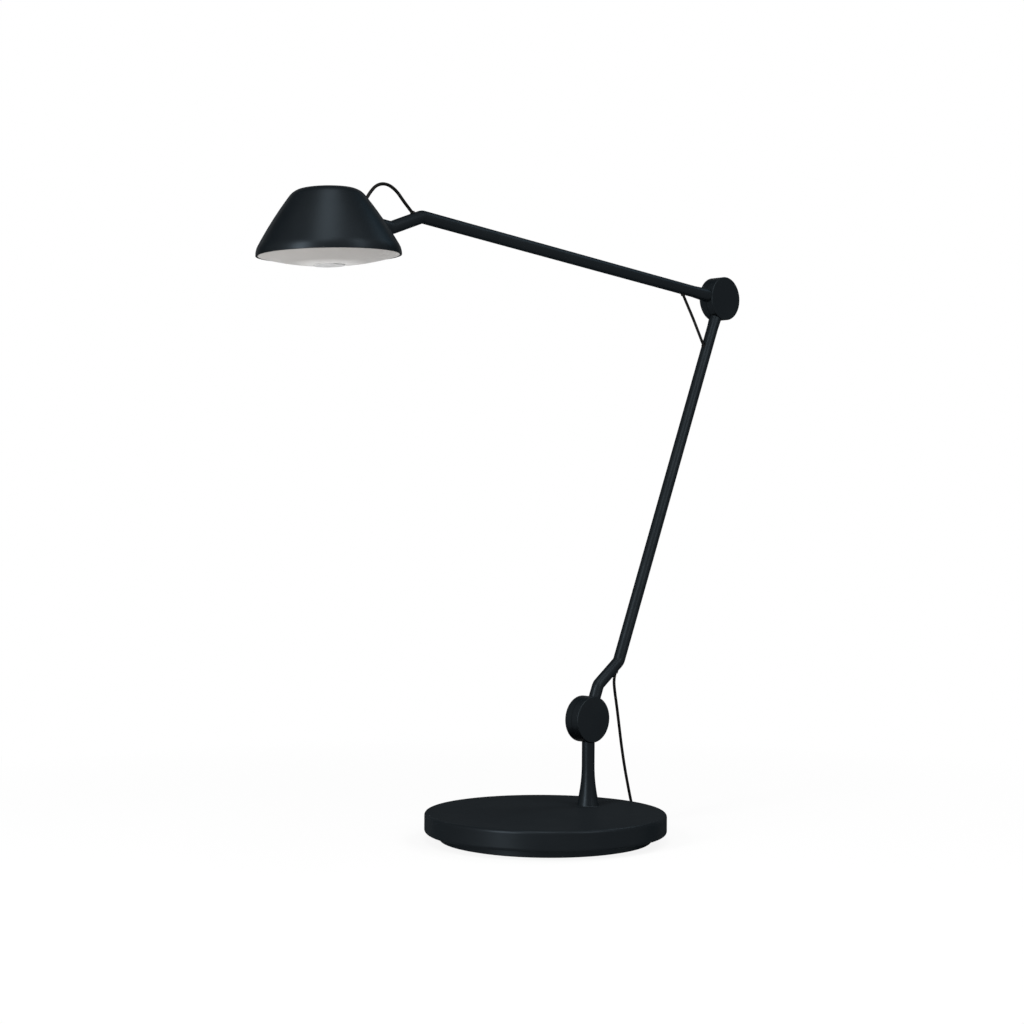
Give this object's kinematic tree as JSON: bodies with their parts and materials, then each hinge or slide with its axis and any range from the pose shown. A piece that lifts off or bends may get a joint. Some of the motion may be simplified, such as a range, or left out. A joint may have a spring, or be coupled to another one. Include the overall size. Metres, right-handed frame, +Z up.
{
  "type": "desk lamp",
  "caption": "Desk lamp with a round weighted base, two thin arms on friction discs, a small tilting dome head with an opal diffuser, and a cord with a plug-in driver.",
  "frame": {"origin": "on the table, in the middle of the round base's underside", "axes": "+Z up; the post, both arms and the head stand in the plane Y = 0; the head reaches towards -X and the elbow stands on the +X side; the discs' capped side and the coil are on +Y"},
  "size_m": [0.5515, 0.2595, 0.547],
  "materials": {
    "black_coated_steel": "satin",
    "black_coated_aluminium": "satin",
    "black_coated_iron": "satin",
    "black_foot": "matte",
    "black_rubber": "matte",
    "black_cord": "matte",
    "black_plastic": "matte",
    "friction_washer": "matte",
    "bare_steel": "satin",
    "bare_aluminium": "satin",
    "white_board": "satin",
    "light_chip": "gloss",
    "dark_part": "matte",
    "white_terminal": "matte",
    "opal_diffuser": "satin",
    "grey_button": "satin",
    "circuit_board": "satin"
  },
  "bodies": {
    "base": {"base_disc": "black_coated_iron", "foot_plate": "black_foot", "foot_plate_screws": "bare_steel", "foot_pad": "black_rubber", "post": "black_coated_steel", "post_washer": "bare_steel", "post_bolt": "bare_steel", "lower_joint_friction_washer": "friction_washer", "lower_joint_spring_washers": "bare_steel", "lower_joint_cap": "black_plastic", "cord_to_table": "black_cord", "cord_coil": "black_cord", "cord_to_driver": "black_cord", "driver_tray": "black_plastic", "driver_cover": "black_plastic", "driver_board": "circuit_board", "driver_pins": "bare_steel", "driver_strain_relief": "black_plastic"},
    "lower_arm": {"lower_arm_cranked_end": "black_coated_steel", "lower_arm_tube": "black_coated_aluminium", "lower_arm_elbow_end": "black_coated_steel", "lower_arm_cord_bushes": "black_rubber", "lower_joint_pivot_bolt": "bare_steel", "elbow_friction_washer": "friction_washer", "elbow_spring_washers": "bare_steel", "elbow_cap": "black_plastic", "cord_in_lower_arm": "black_cord", "cord_elbow": "black_cord"},
    "upper_arm": {"upper_arm_elbow_end": "black_coated_steel", "upper_arm_tube": "black_coated_aluminium", "upper_arm_cranked_end": "black_coated_aluminium", "upper_arm_cord_bushes": "black_rubber", "elbow_pivot_bolt": "bare_steel", "cord_in_upper_arm": "black_cord", "cord_head_loop": "black_cord"},
    "head": {"shade": "black_coated_aluminium", "head_cord_bush": "black_rubber", "shade_stud": "bare_aluminium", "stud_screw": "bare_steel", "head_clevis": "bare_aluminium", "head_plate": "bare_aluminium", "clevis_screws": "bare_steel", "hinge_washers": "bare_steel", "head_hinge_pin": "bare_steel", "head_hinge_nut": "bare_steel", "cord_terminal": "white_terminal", "light_board": "white_board", "light_chips": "light_chip", "dimmer_switch": "dark_part", "diffuser": "opal_diffuser", "cord_in_head": "black_cord"},
    "dimmer_button": {"dimmer_button": "grey_button"}
  },
  "joints": [
    {"name": "lower_hinge", "type": "hinge", "parent": "base", "child": "lower_arm", "pos_m": [0.05305, 0, 0.1013], "axis": [0, 1, 0], "range_deg": [-40, 35], "deforming": ["cord_to_table"]},
    {"name": "elbow_hinge", "type": "hinge", "parent": "lower_arm", "child": "upper_arm", "pos_m": [0.23108, 0, 0.48891], "axis": [0, 1, 0], "range_deg": [-22, 80], "deforming": ["cord_elbow"]},
    {"name": "head_tilt", "type": "hinge", "parent": "upper_arm", "child": "head", "pos_m": [-0.21447, 0, 0.51434], "axis": [0, 1, 0], "range_deg": [-15, 25], "deforming": ["cord_head_loop"]},
    {"name": "dimmer_press", "type": "slide", "parent": "head", "child": "dimmer_button", "axis": [-0.0433, 0, 0.9991], "range_m": [0, 0.0008], "stiffness_N_per_m": 2500, "springref_m": -0.0002}
  ]
}
